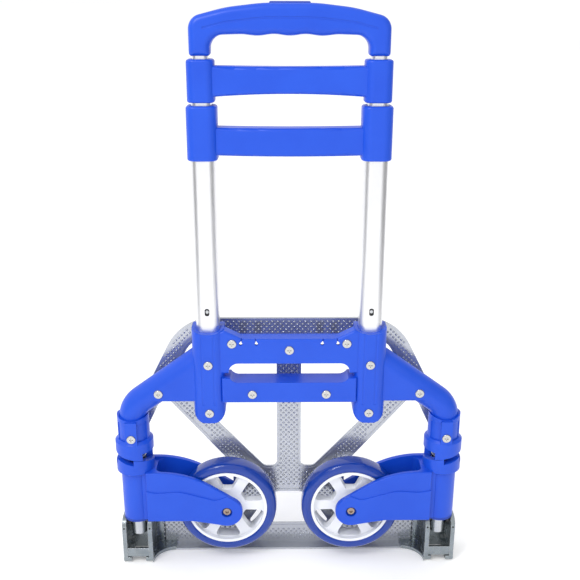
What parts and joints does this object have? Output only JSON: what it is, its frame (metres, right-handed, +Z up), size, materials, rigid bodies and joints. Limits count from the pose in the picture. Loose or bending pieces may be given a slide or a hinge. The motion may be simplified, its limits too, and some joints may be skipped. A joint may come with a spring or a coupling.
{
  "type": "folding platform cart",
  "caption": "Folding hand cart with a telescoping handle, swing-out wheels on sprung sleeves and a hinged open-work toe plate, shown folded flat.",
  "frame": {"origin": "under the middle of the folded cart, on the plane its bracket feet and toe plate stand on", "axes": "+X along the toe plate's width, +Y from the wheel side towards the toe plate's back, +Z up the mast"},
  "size_m": [0.3954, 0.0494, 0.6288],
  "materials": {
    "blue_plastic": "satin moulded blue",
    "dark_blue_plastic": "satin, deeper blue",
    "blue_tyre": "glossy moulded rubber",
    "white_plastic": "glossy white",
    "silver_tube": "satin anodised",
    "steel_tube": "plain",
    "screw_steel": "bright plated",
    "bronzed_axle": "dull bronze plating",
    "black_nylon": "matte",
    "plate_aluminium": "satin grey, dimpled",
    "cast_aluminium": "smooth cast, glossy"
  },
  "bodies": {
    "frame": {"front_shell": "blue_plastic", "rear_shell": "blue_plastic", "shell_screws": "screw_steel", "outer_tube_left": "silver_tube", "outer_tube_right": "silver_tube", "lower_collar": "blue_plastic", "lower_guide_bushes": "black_nylon", "leg_tube_left": "steel_tube", "leg_tube_right": "steel_tube", "cam_collar_left": "blue_plastic", "cam_collar_right": "blue_plastic", "collar_screws": "screw_steel", "leg_spring_left": "steel_tube", "leg_spring_right": "steel_tube"},
    "toe_plate": {"toe_panel": "plate_aluminium", "hinge_bracket_left": "cast_aluminium", "hinge_bracket_right": "cast_aluminium", "bracket_rivets": "screw_steel", "pivot_pin_left": "steel_tube", "pivot_pin_right": "steel_tube", "pivot_spacers": "black_nylon"},
    "washer_left": {"thrust_washer_left": "dark_blue_plastic"},
    "washer_right": {"thrust_washer_right": "dark_blue_plastic"},
    "arm_left": {"wheel_fork_left": "blue_plastic", "sleeve_bush_left": "black_nylon", "axle_bolt_left": "bronzed_axle", "axle_nut_left": "steel_tube"},
    "arm_right": {"wheel_fork_right": "blue_plastic", "sleeve_bush_right": "black_nylon", "axle_bolt_right": "bronzed_axle", "axle_nut_right": "steel_tube"},
    "wheel_left": {"tyre_left": "blue_tyre", "wheel_rim_left": "white_plastic", "wheel_bush_left": "black_nylon"},
    "wheel_right": {"tyre_right": "blue_tyre", "wheel_rim_right": "white_plastic", "wheel_bush_right": "black_nylon"},
    "handle_mid": {"mid_tube_left": "silver_tube", "mid_tube_right": "silver_tube", "upper_collar": "blue_plastic", "mid_lock_blocks": "black_nylon", "upper_guide_bushes": "black_nylon"},
    "handle_top": {"top_tube_left": "silver_tube", "top_tube_right": "silver_tube", "top_lock_blocks": "black_nylon", "grip_front_shell": "blue_plastic", "grip_rear_shell": "blue_plastic", "grip_screws": "screw_steel", "button_spring": "steel_tube"},
    "release_button": {"grip_button": "dark_blue_plastic", "release_yoke": "black_nylon"},
    "mid_locks": {"mid_lock_pins": "steel_tube"},
    "top_locks": {"top_lock_pins": "steel_tube"}
  },
  "joints": [
    {"name": "toe_plate_hinge", "type": "hinge", "parent": "frame", "child": "toe_plate", "pos_m": [0, -0.0033, 0.049], "axis": [-1, 0, 0], "range_deg": [0, 90]},
    {"name": "handle_mid_slide", "type": "slide", "parent": "frame", "child": "handle_mid", "axis": [0, 0, 1], "range_m": [0, 0.187]},
    {"name": "handle_top_slide", "type": "slide", "parent": "handle_mid", "child": "handle_top", "axis": [0, 0, 1], "range_m": [0, 0.187]},
    {"name": "release_button_slide", "type": "slide", "parent": "handle_top", "child": "release_button", "axis": [0, 0, -1], "range_m": [0, 0.004], "stiffness_N_per_m": 500, "springref_m": -0.003, "deforming": ["button_spring"]},
    {"name": "mid_locks_slide", "type": "slide", "parent": "handle_mid", "child": "mid_locks", "axis": [0, 1, 0], "range_m": [0, 0.002]},
    {"name": "top_locks_slide", "type": "slide", "parent": "handle_top", "child": "top_locks", "axis": [0, 1, 0], "range_m": [0, 0.002]},
    {"name": "washer_lift_left", "type": "slide", "parent": "frame", "child": "washer_left", "axis": [0, 0, 1], "range_m": [0, 0.007], "deforming": ["leg_spring_left"]},
    {"name": "arm_turn_left", "type": "hinge", "parent": "washer_left", "child": "arm_left", "pos_m": [-0.1763, -0.0033, 0.06], "axis": [0, 0, -1], "range_deg": [0, 90]},
    {"name": "wheel_spin_left", "type": "hinge", "parent": "arm_left", "child": "wheel_left", "pos_m": [-0.0716, -0.0033, 0.0715], "axis": [0, 1, 0], "continuous": true},
    {"name": "washer_lift_right", "type": "slide", "parent": "frame", "child": "washer_right", "axis": [0, 0, 1], "range_m": [0, 0.007], "deforming": ["leg_spring_right"]},
    {"name": "arm_turn_right", "type": "hinge", "parent": "washer_right", "child": "arm_right", "pos_m": [0.1763, -0.0033, 0.06], "axis": [0, 0, 1], "range_deg": [0, 90]},
    {"name": "wheel_spin_right", "type": "hinge", "parent": "arm_right", "child": "wheel_right", "pos_m": [0.0716, -0.0033, 0.0715], "axis": [0, 1, 0], "continuous": true}
  ],
  "couplings": [
    {"joint": "mid_locks_slide", "follows": "release_button_slide", "ratio": 0.5},
    {"joint": "top_locks_slide", "follows": "release_button_slide", "ratio": 0.5},
    {"joint": "washer_lift_left", "follows": "toe_plate_hinge", "m_per_rad": 0.0044563},
    {"joint": "arm_turn_left", "follows": "toe_plate_hinge", "ratio": 1},
    {"joint": "washer_lift_right", "follows": "toe_plate_hinge", "m_per_rad": 0.0044563},
    {"joint": "arm_turn_right", "follows": "toe_plate_hinge", "ratio": 1}
  ]
}
